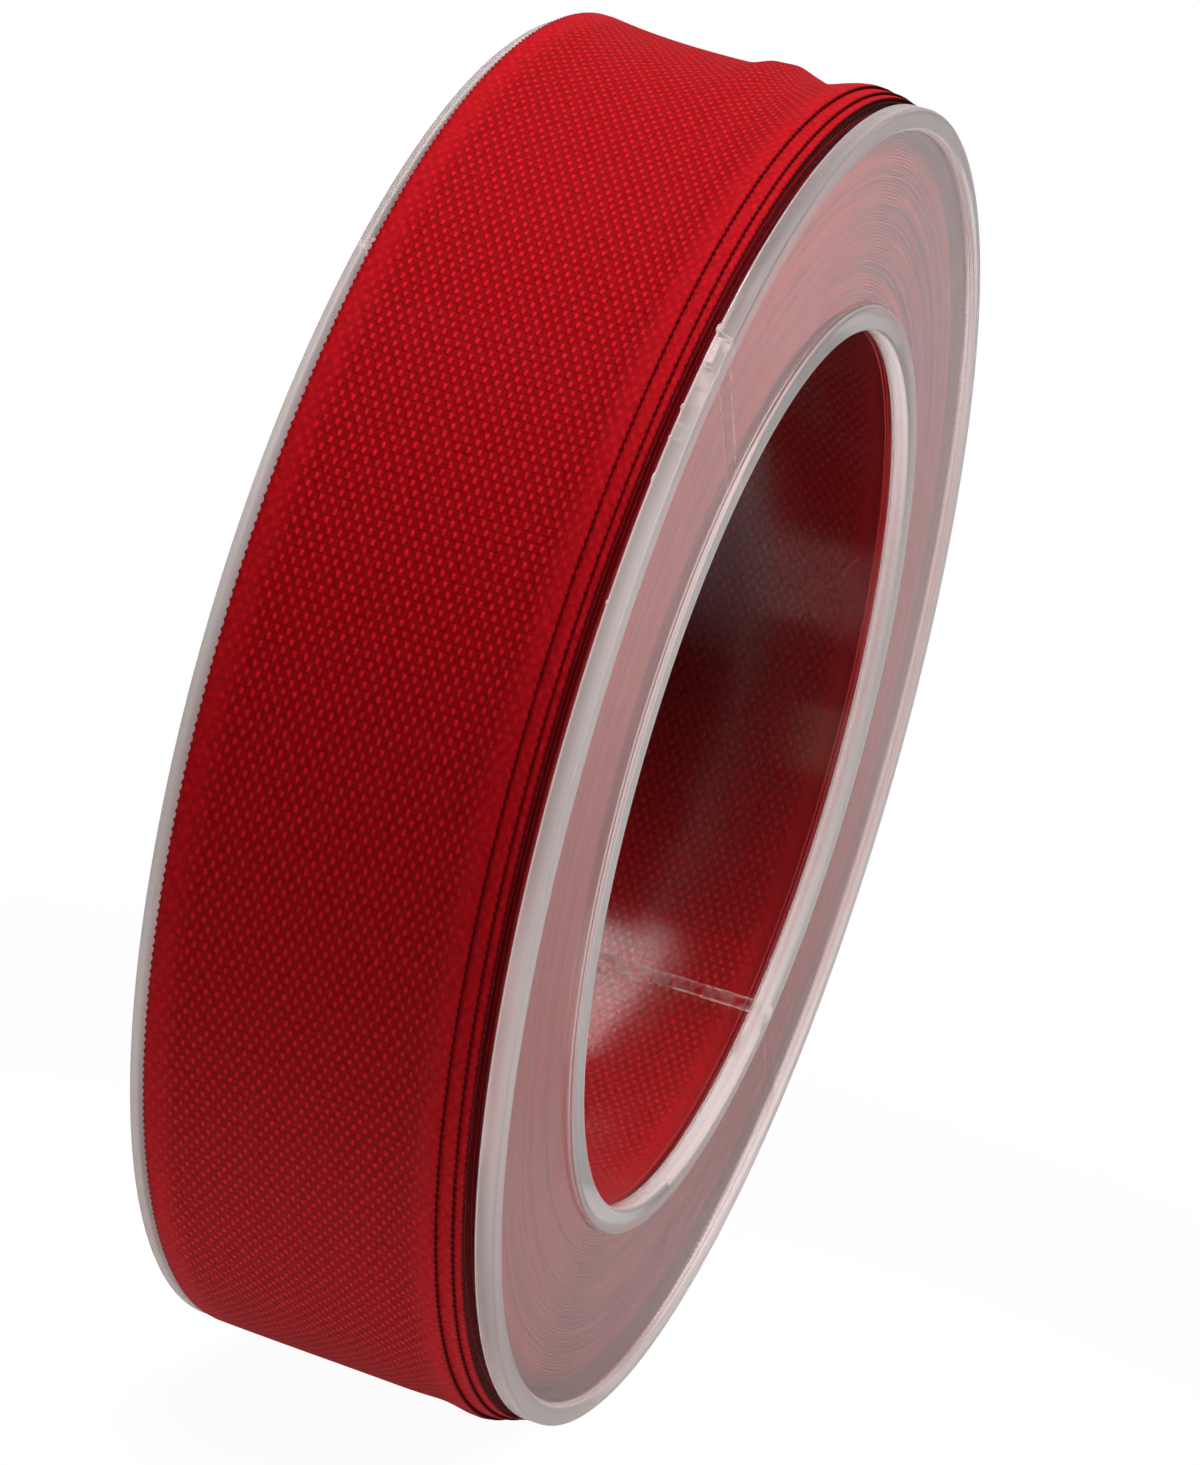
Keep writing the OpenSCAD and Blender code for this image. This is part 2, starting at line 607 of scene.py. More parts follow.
def unit_grid(name: str, columns: int, rows: int) -> tuple[bpy.types.Mesh, np.ndarray]:
    """Make a flat grid of one unit square.

    Args:
        name: the mesh's name.
        columns: faces along x.
        rows: faces along y.

    Returns:
        The mesh, and its vertices' x and y from 0 to 1.
    """
    bm = bmesh.new()
    bmesh.ops.create_grid(bm, x_segments=columns, y_segments=rows, size=0.5)
    mesh = mesh_from(name, bm)
    flat = np.empty(len(mesh.vertices) * 3, np.float32)
    mesh.vertices.foreach_get("co", flat)
    return mesh, flat.reshape(-1, 3)[:, :2].astype(float) + 0.5


def move_vertices(mesh: bpy.types.Mesh, places: np.ndarray) -> None:
    """Put a mesh's vertices at the given places, in metres."""
    mesh.vertices.foreach_set("co", places.astype(np.float32).ravel())
    mesh.update()


def map_uv(mesh: bpy.types.Mesh, name: str, per_vertex: np.ndarray) -> None:
    """Give a mesh a UV map with one place for each vertex."""
    layer = mesh.uv_layers.new(name=name)
    corners = np.empty(len(mesh.loops), np.int32)
    mesh.loops.foreach_get("vertex_index", corners)
    layer.data.foreach_set("uv", per_vertex[corners].astype(np.float32).ravel())


def finish_piece(
    mesh: bpy.types.Mesh, material: bpy.types.Material, body: Body
) -> bpy.types.Object:
    """Turn a mesh into a smooth-shaded piece that rides on a body.

    Args:
        mesh: the finished mesh, whose name the piece takes.
        material: its finish.
        body: the body that carries it.

    Returns:
        The piece.
    """
    mesh.shade_smooth()
    mesh.materials.append(material)
    made = bpy.data.objects.new(mesh.name, mesh)
    bpy.context.scene.collection.objects.link(made)
    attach(made, body.value)
    return made


# ---------------------------------------------------------------------------
# The moulded spool
# ---------------------------------------------------------------------------


@dataclass
class SpoolSizes:
    """The moulding's sizes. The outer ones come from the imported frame."""

    rim_r: float = field(init=False)
    bore_r: float = field(init=False)
    half_width: float = field(init=False)
    hub_wall: float = 1.4
    web: float = 1.3
    bead: float = 0.4
    rim_width: float = 1.8
    lip_width: float = 2.1
    corner: float = 0.24
    seam: float = 138.5
    lap: float = 2.2
    gap: float = 0.04

    def __post_init__(self) -> None:
        """Read the outer sizes from the frame."""
        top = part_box("upper_half_shell")[1]
        self.rim_r, self.half_width = top.z / MM, top.y / MM
        bore = next(m for m in frame["record"]["mounts"] if m["kind"] == "bore")
        self.bore_r = bore["dims"]["r_mm"]

    @property
    def hub_r(self) -> float:
        """Radius of the hub's ribbon side."""
        return self.bore_r + self.hub_wall

    @property
    def inner_reach(self) -> float:
        """Reach of the flange's ribbon side."""
        return self.half_width - self.bead - self.web


@dataclass(frozen=True)
class Burr:
    """A speck of flash or weld left on a half shell: its place and its half sizes."""

    degrees: float
    radius: float
    reach: float
    along: float = 0.16
    out: float = 0.1
    across: float = 0.1

    def add_to(self, bm: bmesh.types.BMesh) -> None:
        """Add the speck to a shell's bmesh as a small flattened ball."""
        turn = Matrix.Rotation(math.radians(-self.degrees), 4, "Y")
        place = Matrix.Translation((self.radius * MM, -self.reach * MM, 0.0))
        size = Matrix.Diagonal((self.out * MM, self.across * MM, self.along * MM, 1.0))
        bmesh.ops.create_icosphere(bm, subdivisions=2, radius=1.0, matrix=turn @ place @ size)


@dataclass
class HalfShell:
    """One of the two identical half rings. Each end laps with the other shell's end."""

    name: str
    stands_for: str
    start: float
    sizes: SpoolSizes
    burrs: tuple[Burr, ...] = ()
    flash: tuple[float, float] | None = None
    steps: int = 300
    lap_steps: int = 4
    flash_steps: int = 60
    sharp_degrees: float = 50.0

    def build(self, clear: bpy.types.Material, weld: bpy.types.Material) -> bpy.types.Object:
        """Spin the channel section half way round, with its lapped ends.

        Args:
            clear: the clear plastic.
            weld: the finish of the faces where the two shells are welded.

        Returns:
            The finished shell.
        """
        s = self.sizes
        gap = math.degrees(s.gap / s.rim_r)
        bm = bmesh.new()
        inside, outside = self._section(bm, self.start + s.lap)
        whole = self._with_edges([inside, outside])
        half = 180.0 - s.lap - gap / 2
        last = self._spin(bm, whole, half, self.steps)
        tongue = min(
            (g for g in last if isinstance(g, bmesh.types.BMFace)),
            key=lambda f: max(v.co.length for v in f.verts),
        )
        self._spin(bm, self._with_edges([tongue]), s.lap - gap / 2, self.lap_steps)
        self._spin(bm, self._with_edges([outside]), gap / 2 - s.lap, self.lap_steps)
        bmesh.ops.remove_doubles(bm, verts=bm.verts, dist=1e-7)
        if self.flash:
            self._add_flash(bm, *self.flash)
        for burr in self.burrs:
            burr.add_to(bm)
        bmesh.ops.recalc_face_normals(bm, faces=bm.faces)
        self._mark_weld(bm)
        made = finish_piece(mesh_from(self.name, bm), clear, Body.SPOOL)
        made.data.materials.append(weld)
        made.data.set_sharp_from_angle(angle=math.radians(self.sharp_degrees))
        flat = made.modifiers.new("flat_faces", "WEIGHTED_NORMAL")
        flat.weight, flat.keep_sharp = FLAT_WEIGHT, True
        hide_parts(self.stands_for)
        LOG.info("%s: from %.1f degrees, %d faces", self.name, self.start, len(made.data.polygons))
        return made

    def _section(
        self, bm: bmesh.types.BMesh, degrees: float
    ) -> tuple[bmesh.types.BMFace, bmesh.types.BMFace]:
        """Draw the channel's section in two layers and round its corners.

        Args:
            bm: the bmesh that takes the section.
            degrees: the angle of its plane.

        Returns:
            The layer on the ribbon side and the layer on the outside.
        """
        s = self.sizes
        layer = s.web / 2
        parting, face = s.inner_reach + layer, s.inner_reach + s.web
        split_r = s.rim_r - s.rim_width / 2
        lip_r, rim_r = s.bore_r + s.lip_width, s.rim_r - s.rim_width
        # from the middle of the bore side out to the split, in front; the back mirrors it
        shared = [(s.hub_r - layer, parting), (split_r, parting), (split_r, s.inner_reach)]
        channel = [(s.hub_r, s.inner_reach)]
        outer = [
            (s.rim_r, s.inner_reach),
            (s.rim_r, s.half_width),
            (rim_r, s.half_width),
            (rim_r, face),
            (lip_r, face),
            (lip_r, s.half_width),
            (s.bore_r, s.half_width),
        ]
        (fs, fc, fo), (bs, bc, bo) = (
            [
                [bm.verts.new(on_spool(radius, side * reach, degrees)) for radius, reach in run]
                for run in (shared, channel, outer)
            ]
            for side in (1.0, -1.0)
        )
        bm.faces.new([fs[-1], *fc, *bc, *bs[::-1], *fs[:2]])
        bm.faces.new([*fs, *fo, *bo[::-1], *bs[::-1]])
        bmesh.ops.bevel(
            bm,
            geom=[*fc, *bc, *fo, *bo],
            offset=s.corner * MM,
            offset_type="OFFSET",
            segments=3,
            profile=0.5,
            affect="VERTICES",
            material=-1,
        )
        inside, outside = sorted(bm.faces, key=lambda f: max(v.co.length for v in f.verts))
        return inside, outside

    def _add_flash(self, bm: bmesh.types.BMesh, first: float, last: float) -> None:
        """Add the thin fin of flash that the mould left inside the front lip.

        Args:
            bm: the shell's bmesh.
            first: the angle where the fin starts.
            last: the angle where it ends.
        """
        s = self.sizes
        corners = ((-0.14, -0.5), (0.3, -0.5), (0.3, 0.1), (-0.14, 0.1))
        section = [
            bm.verts.new(on_spool(s.bore_r + out, s.half_width + forward, first))
            for out, forward in corners
        ]
        self._spin(bm, self._with_edges([bm.faces.new(section)]), last - first, self.flash_steps)

    def _mark_weld(self, bm: bmesh.types.BMesh) -> None:
        """Give the weld's finish to the end faces and to the faces between the layers."""
        s = self.sizes
        near, layer = 0.01, s.web / 2
        parting, inner_r = s.inner_reach + layer, s.hub_r - layer
        for face in bm.faces:
            middle = face.calc_center_median() / MM
            radius, reach = math.hypot(middle.x, middle.z), abs(middle.y)
            turn = math.degrees(math.atan2(middle.z, middle.x)) - self.start
            past_lap = (turn + 10.0) % 360.0 - 10.0
            at_end = past_lap < s.lap + 0.001 or past_lap > 180.0 - 0.05
            along = abs(face.normal.dot(Vector((-middle.z, 0.0, middle.x)).normalized()))
            on_parting = abs(reach - parting) < near and inner_r - near < radius < s.rim_r - 0.5
            on_hub = abs(radius - inner_r) < near and reach < parting + near
            if along > 0.9 or (at_end and (on_parting or on_hub)):
                face.material_index = 1

    def _with_edges(self, faces: list[bmesh.types.BMFace]) -> list:
        """Give faces together with their edges and vertices, each once and in order."""
        return list(dict.fromkeys(g for f in faces for g in (f, *f.edges, *f.verts)))

    def _spin(self, bm: bmesh.types.BMesh, geom: list, degrees: float, steps: int) -> list:
        """Spin geometry round the spool's axis and return its last copy."""
        turned = bmesh.ops.spin(
            bm, geom=geom, axis=(0.0, -1.0, 0.0), angle=math.radians(degrees), steps=steps
        )
        return turned["geom_last"]


# ---------------------------------------------------------------------------
# The ribbon
# ---------------------------------------------------------------------------


@dataclass
class Winding:
    """Where every turn of the ribbon lies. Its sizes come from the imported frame."""

    outside: float = field(init=False)
    pitch: float = field(init=False)
    width: float = field(init=False)
    coil_front: float = field(init=False)
    step: float = field(init=False)
    turns: int = 65
    cut_angle: float = -30.0
    wander: float = 0.3
    slack: float = 0.4
    steps_end: tuple[tuple[float, float], ...] = ((0.93, 1.12), (1.93, 2.12))
    top_angle: float = 92.0
    bottom_angle: float = 254.0
    saddle_rise: float = 0.82
    top_hollow: float = 0.38
    crease_height: float = 0.78
    fade_turns: float = 7.0

    def __post_init__(self) -> None:
        """Read the coil's sizes from the frame, and set how its edges wander."""
        outer, second, coil = (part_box(n) for n in ("outer_turn", "second_turn", "ribbon_coil"))
        self.outside = outer[1].z / MM
        self.pitch = (outer[1].z - second[1].z) / MM
        self.width = (coil[1].y - coil[0].y) / MM
        self.coil_front = -coil[0].y / MM
        self.step = (second[0].y - coil[0].y) / MM
        rng = np.random.default_rng(7)
        self._stops = np.arange(-1.0, self.turns + 3.0, 0.5)
        rough = rng.normal(0.0, 1.0, self._stops.size)
        slow = np.convolve(rng.normal(0.0, 1.0, rough.size + 8), np.ones(9) / 3.0, "valid")
        self._loose = np.abs(np.clip(0.5 * rough + 0.6 * slow, -1.6, 1.6))

    def angle(self, turn: np.ndarray) -> np.ndarray:
        """Give the angle in degrees at a turn."""
        return self.cut_angle + 360.0 * turn

    def turn_at(self, degrees: float) -> float:
        """Give the turn at an angle on the outermost turn."""
        return (degrees - self.cut_angle) / 360.0

    def length(self, turn: np.ndarray) -> np.ndarray:
        """Give the ribbon's length from the cut edge to a turn."""
        return 2.0 * math.pi * (turn * (self.outside - self.pitch / 2) - self.pitch * turn**2 / 2)

    def front(self, turn: np.ndarray) -> np.ndarray:
        """Give the reach of the ribbon's front edge, stepped back on the last two turns."""
        past_first, past_second = (smooth(turn, *ends) for ends in self.steps_end)
        steps = 2.0 - past_first - past_second
        loose = self.wander * np.interp(turn, self._stops, self._loose) * smooth(turn, 3.0, 4.5)
        slack = self.slack * (1.0 - past_first)
        drift = 0.2 * np.cos(np.radians(self.angle(turn) - 162.0)) * (1.0 - past_second)
        shiver = 0.04 * np.sin(np.radians(5.0 * self.angle(turn) + 60.0 * np.floor(turn)))
        return self.coil_front - self.step * steps - slack - loose + drift + shiver * (turn < 3.0)

    def swell(self, turn: np.ndarray, reach: np.ndarray) -> np.ndarray:
        """Give how far the cloth stands off its plain spiral.

        The edges are woven tighter and pile up, so the turns lie in a shallow saddle.
        The coil is a little low on top, where one soft crease runs along the ribbon,
        and underneath it leans towards the front.
        """
        degrees = self.angle(turn)
        q = np.clip((reach + 1.2) / 12.5, -1.1, 1.1)
        top = angle_bump(degrees, self.top_angle, 40.0)
        bottom = angle_bump(degrees, self.bottom_angle, 42.0)
        saddle = -0.3 + self.saddle_rise * np.abs(q) ** 2.5
        roll = 0.2 * bump(reach, 10.1, 1.4) - 0.16 * bump(reach, 7.0, 1.8)
        saddle = saddle * (1.0 - bottom) + (0.43 * q - 0.02) * bottom - self.top_hollow * top
        crease = bump(reach, 2.5 - 0.03 * (degrees % 360.0 - self.top_angle), 1.5)
        crease = self.crease_height * crease * angle_bump(degrees, 88.0, 16.0)
        valley = -0.25 * bump(reach, 6.4, 1.6) * angle_bump(degrees, 90.0, 18.0)
        drift = 0.05 * np.sin(np.radians(2.0 * degrees + 9.0 * reach))
        ripple = 0.03 * np.sin(np.radians(5.0 * degrees - 14.0 * reach + 70.0))
        whole = saddle + roll + crease + valley + drift + ripple
        return whole * np.exp(-turn / self.fade_turns)

    def place(
        self, turn: np.ndarray, across: np.ndarray, lift: np.ndarray | float = 0.0
    ) -> np.ndarray:
        """Give points on the ribbon's middle surface.

        Args:
            turn: turns from the cut edge.
            across: distance from the ribbon's own middle line, positive to the front.
            lift: what is added to the radius.

        Returns:
            One row of x, y and z in metres for each point.
        """
        reach = self.front(turn) - self.width / 2 + across
        radius = self.outside - self.pitch * (0.5 + turn) + self.swell(turn, reach) + lift
        return on_spool(radius, reach, self.angle(turn))


@dataclass
class RibbonStretch:
    """One stretch of the outer ribbon, with the weft loops along its woven edges."""

    name: str
    stands_for: str
    winding: Winding
    first: float
    last: float
    rests_on: list[str]
    row_mm: float = 0.25
    columns: int = 26
    edge_crowding: float = 1.25
    edge_mm: float = 0.35
    edge_drop: float = 0.08
    thickness: float = 0.2
    loop_mm: float = 0.75
    loop_height: float = 0.09

    @property
    def flat_length(self) -> float:
        """The stretch's length before it was wound."""
        ends = self.winding.length(np.array([self.first, self.last]))
        return float(ends[1] - ends[0])

    def build(self, material: bpy.types.Material) -> bpy.types.Object:
        """Args:
            material: the woven finish.

        Returns:
            The piece.
        """
        half = self.winding.width / 2
        mesh, unit = unit_grid(self.name, self.columns, round(self.flat_length / self.row_mm))
        turn = self.first + (self.last - self.first) * unit[:, 1]
        t = 2.0 * unit[:, 0] - 1.0
        across = half * np.sign(t) * (1.0 - (1.0 - np.abs(t)) ** self.edge_crowding)
        along = self.winding.length(turn)
        at_edge = smooth(np.abs(across), half - self.edge_mm, half)
        loops = self.loop_height * np.cos(2.0 * math.pi * along / self.loop_mm)
        looped = across + loops * at_edge * np.sign(across)
        move_vertices(mesh, self.winding.place(turn, looped, -self.edge_drop * at_edge))
        map_uv(mesh, "ribbon_mm", np.stack([across, along], axis=1))
        made = finish_piece(mesh, material, Body.SPOOL)
        cloth = made.modifiers.new("cloth_thickness", "SOLIDIFY")
        cloth.thickness, cloth.offset = self.thickness * MM, 0.0
        made.modifiers.new("flat_ends", "WEIGHTED_NORMAL").weight = FLAT_WEIGHT
        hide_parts(self.stands_for)
        flat = (self.winding.width * MM, self.flat_length * MM)
        LOG.info("%s: %.3f m of ribbon", self.name, self.flat_length * MM)
        return made


@dataclass
class WoundCoil:
    """All the turns below the third, as one continuous spiral of ribbon."""

    name: str
    stands_for: str
    winding: Winding
    first: float
    rests_on: list[str]
    rows_per_turn: int = 160
    inner_end: float = 0.05
    shoulder: float = 1.2
    edge_height: float = 0.22

    def build(self, material: bpy.types.Material) -> bpy.types.Object:
        """Build the spiral, with the thickness of the cloth shown along both edges.

        Args:
            material: the woven finish.

        Returns:
            The piece.
        """
        half = self.winding.width / 2
        turns = self.winding.turns - self.inner_end - self.first
        flat_half = half - self.shoulder
        acrosses = np.array([-half, -half, -flat_half, 0.0, flat_half, half, half])
        lifts = self.edge_height * np.array([-0.5, 0.2, 0.5, 0.5, 0.5, 0.2, -0.5])
        columns = acrosses.size - 1
        mesh, unit = unit_grid(self.name, columns, round(turns * self.rows_per_turn))
        turn = self.first + turns * unit[:, 1]
        column = np.rint(unit[:, 0] * columns).astype(int)
        across, lift = acrosses[column], lifts[column]
        move_vertices(mesh, self.winding.place(turn, across, lift))
        map_uv(mesh, "ribbon_mm", np.stack([across, self.winding.length(turn)], axis=1))
        made = finish_piece(mesh, material, Body.SPOOL)
        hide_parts(self.stands_for)
        ends = self.winding.length(np.array([self.first, self.first + turns]))
        return made


@dataclass
class Ribbon:
    """The one length of ribbon: the coil, the last three turns and the end that lifts."""

    winding: Winding
    finish: PolyesterTaffeta
    shells: list[bpy.types.Object]
    bend: float = 9.0
    seam_bends: float = 3.0

    def build(self) -> None:
        """Build the ribbon from the hub outwards."""
        w, woven = self.winding, self.finish.material()
        joint = next(j for j in frame["joints"] if j["child"] == Body.FREE_END.value)
        pivot = Vector(joint["pos_m"])
        lift = w.turn_at(math.degrees(math.atan2(pivot.z, pivot.x)))
        joined = lift + self.seam_bends * self.bend / 360.0
        coil = WoundCoil("coiled_ribbon", "ribbon_coil", w, 3.0, [o.name for o in self.shells])
        third = RibbonStretch("third_turn_ribbon", "ribbon_coil", w, 2.0, 3.0, [coil.name])
        second = RibbonStretch("second_turn_ribbon", "second_turn", w, 1.0, 2.0, [third.name])
        outer = RibbonStretch("outer_turn_ribbon", "outer_turn", w, joined, 1.0, [second.name])
        tail = RibbonStretch("free_end_ribbon", "free_end", w, 0.0, joined, [second.name])
        for stretch in (coil, third, second, outer):
            stretch.build(woven)
        end = tail.build(woven)
        end.parent = None
        reach = self.bend / 360.0
        above, below = w.place(np.array([lift + reach, lift - reach]), np.zeros(2))
        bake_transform(end)


# ---------------------------------------------------------------------------
# The tapes
# ---------------------------------------------------------------------------


@dataclass
class Tape:
    """A short film with toothed ends, torn off over a dispenser's blade."""

    name: str
    stands_for: str
    finish: TapeFilm
    slot: Slot
    body: Body
    tooth_mm: float = 1.0
    tooth_height: float = 0.35
    thickness: float = 0.07
    rows: int = 32

    def build(self, winding: Winding) -> bpy.types.Object:
        """Lay the film on what its CAD node lies on.

        Args:
            winding: the ribbon's lie, for a tape that is stuck over it.

        Returns:
            The piece.
        """
        low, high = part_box(self.stands_for)
        width, middle = (high.y - low.y) / MM, -(high.y + low.y) / 2 / MM
        first, last = self._angles()
        columns = 2 * round(width / self.tooth_mm)
        mesh, unit = unit_grid(self.name, columns, self.rows)
        across = middle + width * (unit[:, 0] - 0.5)
        teeth = np.abs((unit[:, 0] * columns / 2) % 1.0 - 0.5) * 2.0 - 0.5
        radius = self._radius()
        shift = math.degrees(self.tooth_height / radius)
        degrees = first + (last - first) * unit[:, 1]
        degrees = degrees + shift * teeth * (2.0 * unit[:, 1] - 1.0) ** 9
        move_vertices(mesh, self._lie(winding, degrees, across, radius))
        made = finish_piece(mesh, self.finish.material(), self.body)
        film = made.modifiers.new("film_thickness", "SOLIDIFY")
        film.thickness, film.offset = self.thickness * MM, 0.0
        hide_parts(self.stands_for)
        LOG.info("%s: %.0f mm wide, from %.0f to %.0f degrees", self.name, width, first, last)
        return made

    def _angles(self) -> tuple[float, float]:
        """Find the first and last angle of the tape's CAD node, in degrees."""
        points = [v.co for v in frame["nodes"][self.stands_for].data.vertices]
        middle = math.atan2(sum(p.z for p in points), sum(p.x for p in points))
        turns = [(math.atan2(p.z, p.x) - middle + math.pi) % math.tau - math.pi for p in points]
        return math.degrees(middle + min(turns)), math.degrees(middle + max(turns))

    def _radius(self) -> float:
        """Find the radius of the middle of the tape's CAD node."""
        radii = [math.hypot(v.co.x, v.co.z) for v in frame["nodes"][self.stands_for].data.vertices]
        return (min(radii) + max(radii)) / 2 / MM

    def _lie(
        self, winding: Winding, degrees: np.ndarray, across: np.ndarray, radius: float
    ) -> np.ndarray:
        """Give the film's points: here on the hub."""
        return on_spool(radius + 0.0 * degrees, across, degrees)


@dataclass
class EndTape(Tape):
    """The clear tape that holds the free end down and steps off its cut edge."""

    step_degrees: tuple[float, float] = (-1.1, 0.3)
    glue: float = 0.05

    def _lie(
        self, winding: Winding, degrees: np.ndarray, across: np.ndarray, radius: float
    ) -> np.ndarray:
        """Give the film's points: on the free end, then one layer down past the cut."""
        turn = (degrees - winding.cut_angle) / 360.0
        past = 1.0 - smooth(turn, *(step / 360.0 for step in self.step_degrees))
        swell = winding.swell(np.maximum(turn, 0), across)
        surface = winding.outside - winding.pitch * turn + swell
        return on_spool(surface + self.glue - winding.pitch * past, across, degrees)


# ---------------------------------------------------------------------------
# Camera and studio
# ---------------------------------------------------------------------------


@dataclass
class StudioCamera:
    """A short telephoto camera, rolled a little, near the level of the spool's middle."""

    distance: float = 457.8
    azimuth: float = -75.12
    elevation: float = 8.65
    roll: float = 14.2
    lens: float = 132.05
    sensor: float = 36.0
    aim: tuple[float, float, float] = (0.3, -1.4, -0.5)

    def build(self) -> None:
        """Make the camera and set it as the scene's."""
        a, e = math.radians(self.azimuth), math.radians(self.elevation)
        back = Vector((math.sin(a) * math.cos(e), -math.cos(a) * math.cos(e), math.sin(e)))
        lens = bpy.data.cameras.new("studio_camera")
        lens.lens, lens.sensor_width = self.lens, self.sensor
        lens.clip_start, lens.clip_end = 0.01, 50.0
        made = bpy.data.objects.new("studio_camera", lens)
        bpy.context.scene.collection.objects.link(made)
        made.location = back * self.distance * MM
        look = Vector(self.aim) * MM - made.location
        turned = look.to_track_quat("-Z", "Y").to_matrix() @ Matrix.Rotation(
            math.radians(self.roll), 3, "Z"
        )
        made.rotation_euler = turned.to_euler()
        bpy.context.scene.camera = made


@dataclass
class SoftBox:
    """A square soft light that looks at the middle of the spool."""

    name: str
    place: tuple[float, float, float]
    size: float
    watts: float

    def build(self) -> None:
        """Make the light."""
        lamp = bpy.data.lights.new(self.name, "AREA")
        lamp.size, lamp.energy = self.size, self.watts
        made = bpy.data.objects.new(self.name, lamp)
        bpy.context.scene.collection.objects.link(made)
        # the room, not the lamp, is what shows in the gloss
        made.visible_glossy = False
        made.location = self.place
        made.rotation_euler = (-Vector(self.place)).to_track_quat("-Z", "Y").to_euler()


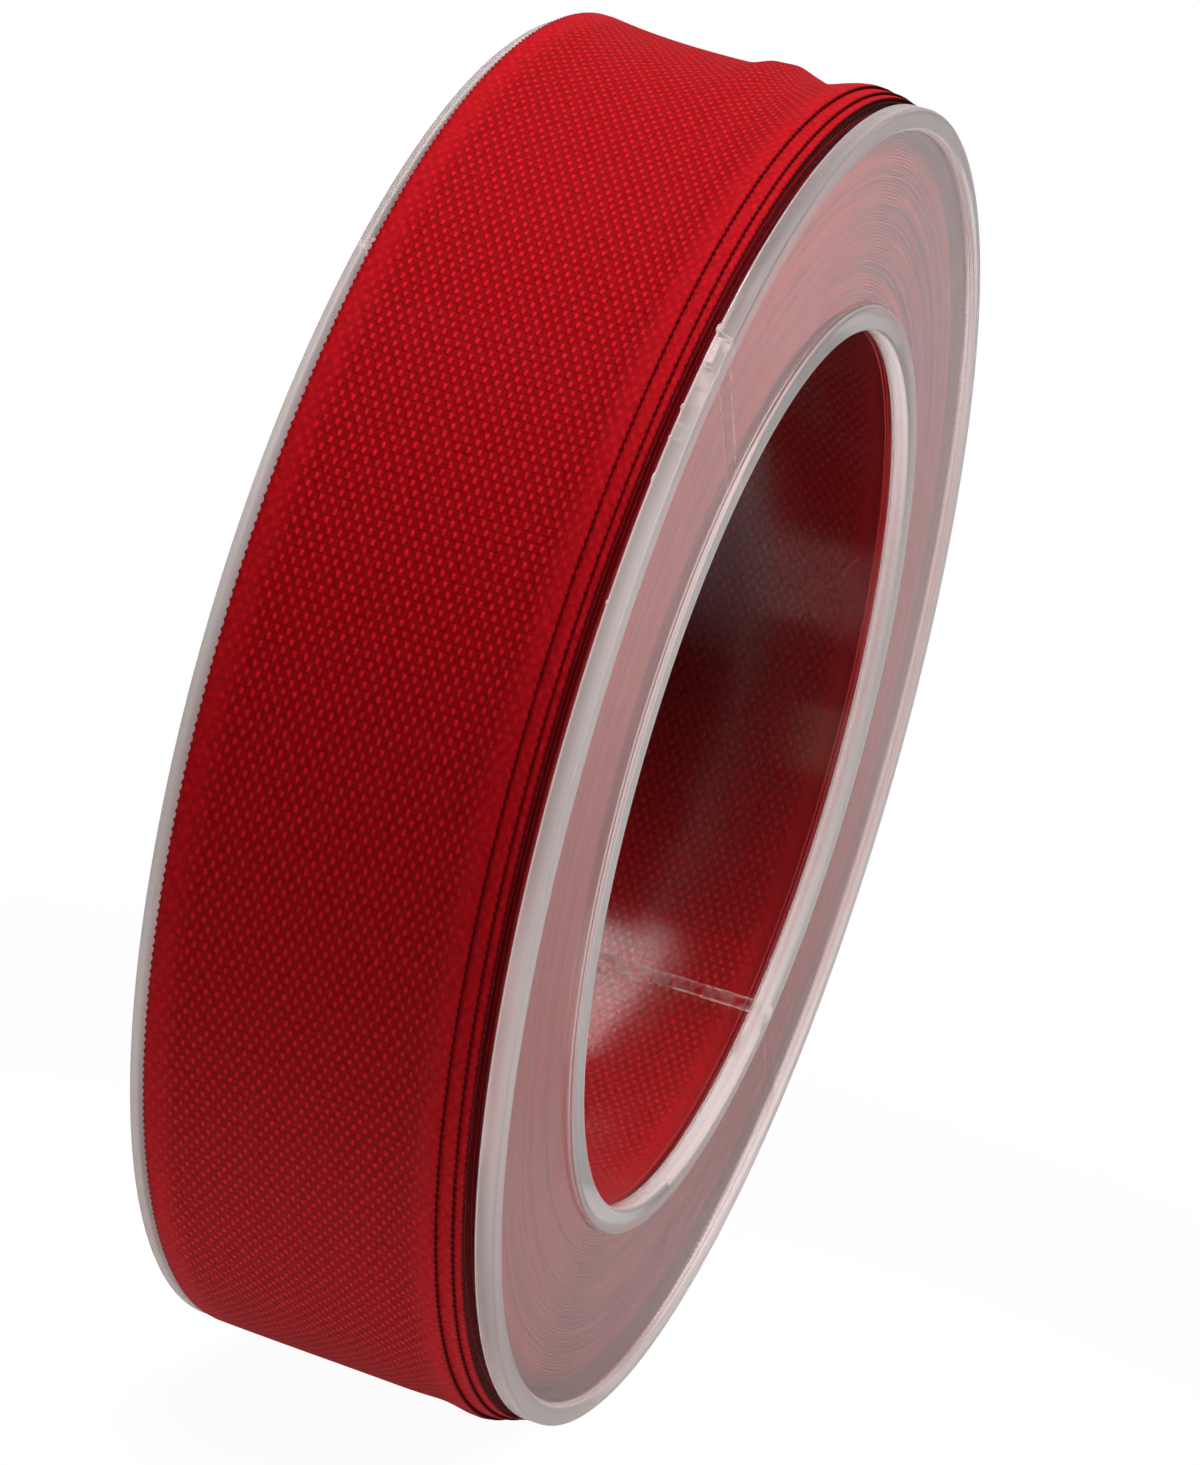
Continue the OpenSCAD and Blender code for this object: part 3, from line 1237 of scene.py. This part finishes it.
@dataclass
class Studio:
    """A pale floor and even soft light from above, in a pale room.

    What a ray meets depends on how it got there. The backdrop is white behind the spool
    and through its clear plastic, dimmer in what the cloth and the plastic mirror, and
    dimmer still as fill. It also fades along X, so that the plastic has a dark side.
    """

    floor_colour: str = "#B4B4B4"
    floor_size: float = 6.0
    backdrop: float = 1.0
    reflected: float = 0.45
    behind: float = 0.015
    fill: float = 0.042
    floor_fade: tuple[float, float] = (0.1, 0.6)
    room_fade: tuple[float, float] = (0.4, 2.0)
    pool_strength: float = 0.75
    pool_m: tuple[float, float] = (0.05, 0.16)
    shadow: float = 0.14
    shadow_m: tuple[float, float] = (0.06, 0.2)
    key: SoftBox = field(
        default_factory=lambda: SoftBox("overhead_soft_box", (-0.12, -0.1, 0.88), 1.05, 17.5)
    )

    def build(self) -> None:
        """Make the floor, the lights and the room round them."""
        self.key.build()
        self._floor()
        self._room()
        bpy.context.scene.view_settings.view_transform = "Standard"

    def _by_ray(
        self, tree: bpy.types.NodeTree, kind: str, fill: bpy.types.Node, fade: tuple[float, float]
    ) -> bpy.types.Node:
        """Choose between the backdrop, what shows in the plastic, and the fill.

        Args:
            tree: the node tree of the floor or the room.
            kind: "Emission" or "Background".
            fill: the shader that lights the object.
            fade: how far each way along X the view through the plastic goes from dim to
                full, and where along X what the plastic mirrors is at its full strength.

        Returns:
            The last mixing node.
        """
        path = add_node(tree, "LightPath")
        place = add_node(tree, "TexCoord").outputs["Object" if kind == "Emission" else "Generated"]
        side = add_node(tree, "SeparateXYZ", {"Vector": place})
        seen = add_node(tree, kind, {"Color": WHITE, "Strength": self.backdrop})
        shaders = []
        for strength, limit in zip((self.backdrop, self.reflected), fade):
            level = add_node(
                tree,
                "MapRange",
                {
                    "Value": side.outputs["X"],
                    "From Min": -fade[0],
                    "From Max": limit,
                    "To Min": self.behind,
                    "To Max": strength,
                },
                interpolation_type="SMOOTHSTEP",
            )
            shaders.append(add_node(tree, kind, {"Color": WHITE, "Strength": level}))
        through, mirrored = shaders
        made = fill
        for flag, shader in (
            ("Is Glossy Ray", mirrored),
            ("Is Transmission Ray", through),
            ("Is Camera Ray", seen),
        ):
            made = add_node(tree, "MixShader", {0: path.outputs[flag], 1: made, 2: shader})
        return made

    def _floor(self) -> None:
        """Lay the pale floor under the spool, bright near it, and mark it as stage."""
        bm = bmesh.new()
        bmesh.ops.create_grid(bm, x_segments=1, y_segments=1, size=self.floor_size)
        bmesh.ops.translate(bm, vec=(0.0, 0.0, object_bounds()[0].z), verts=bm.verts)
        mesh = mesh_from("studio_floor", bm)
        paper = empty_material("matt_paper_sweep")
        tree = paper.node_tree
        place = add_node(tree, "TexCoord").outputs["Object"]
        away = add_node(tree, "VectorMath", {0: place}, operation="LENGTH").outputs["Value"]
        pool, shadow = (
            add_node(
                tree,
                "MapRange",
                {
                    "Value": away,
                    "From Min": near,
                    "From Max": far,
                    "To Min": most,
                    "To Max": 0.0,
                },
                interpolation_type="SMOOTHSTEP",
            )
            for (near, far), most in (
                (self.pool_m, self.pool_strength),
                (self.shadow_m, self.shadow),
            )
        )
        matt = add_node(tree, "BsdfDiffuse", {"Color": linear(self.floor_colour)})
        glow = add_node(tree, "Emission", {"Strength": pool})
        lit = add_node(tree, "AddShader", {0: matt, 1: glow})
        chosen = self._by_ray(tree, "Emission", lit, self.floor_fade)
        shaded = add_node(tree, "MixShader", {0: shadow, 1: chosen, 2: lit})
        add_node(tree, "OutputMaterial", {"Surface": shaded})
        mesh.materials.append(paper)
        floor = bpy.data.objects.new("studio_floor", mesh)
        bpy.context.scene.collection.objects.link(floor)
        floor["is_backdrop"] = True

    def _room(self) -> None:
        """Put the floor in a pale room."""
        world = bpy.data.worlds.new("studio_room")
        world.use_nodes = True
        tree = world.node_tree
        tree.nodes.clear()
        dim = add_node(tree, "Background", {"Color": WHITE, "Strength": self.fill})
        chosen = self._by_ray(tree, "Background", dim, self.room_fade)
        add_node(tree, "OutputWorld", {"Surface": chosen})
        bpy.context.scene.world = world


def write_sizes() -> None:
    """Write the CAD model's box and the visual model's box as plain lists."""
    boxes = {"cad": CAD_BOX, "visual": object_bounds()}
    for name, (low, high) in boxes.items():
        LOG.info("%s box: %s mm", name, [round(x / MM, 2) for x in high - low])


def main() -> None:
    """Build the whole object in order."""
    logging.basicConfig(level=logging.INFO, format="%(name)s: %(message)s")
    StudioCamera().build()
    sizes, winding = SpoolSizes(), Winding()
    clear, weld = CrystalPolystyrene().material(), SolventWeld().material()
    rim, edge = sizes.rim_r, sizes.inner_reach + 0.1
    upper = HalfShell(
        "upper_shell",
        "upper_half_shell",
        sizes.seam - 180.0,
        sizes,
        burrs=(
            Burr(137.7, rim, edge, 0.45, 0.2, 0.22),
            Burr(-41.0, sizes.bore_r + 0.3, sizes.half_width, 0.9, 0.5, 0.3),
        ),
    )
    lower = HalfShell(
        "lower_shell",
        "lower_half_shell",
        sizes.seam,
        sizes,
        burrs=(
            Burr(145.4, rim, edge, 0.3, 0.16, 0.16),
            Burr(148.2, rim, edge),
            Burr(151.7, rim, edge, 0.4, 0.12, 0.12),
            Burr(162.0, rim, edge, 0.2, 0.12, 0.12),
        ),
        flash=(sizes.seam + 142.5, sizes.seam + 177.5),
    )
    shells = [upper.build(clear, weld), lower.build(clear, weld)]
    cream = TapeFilm("cream_masking_tape", "#E6D9B8", 1.0, roughness=0.55)
    Tape("start_tape_film", "start_tape", cream, Slot.CREAM_TAPE, Body.SPOOL).build(winding)
    Ribbon(winding, PolyesterTaffeta(width_mm=winding.width), shells).build()
    film = TapeFilm("clear_acetate_tape", "#F4F1E8", 0.13, roughness=0.2)
    EndTape("end_tape_film", "end_tape", film, Slot.CLEAR_TAPE, Body.FREE_END).build(winding)
    Studio().build()
    write_sizes()


if __name__ == "__main__":
    main()
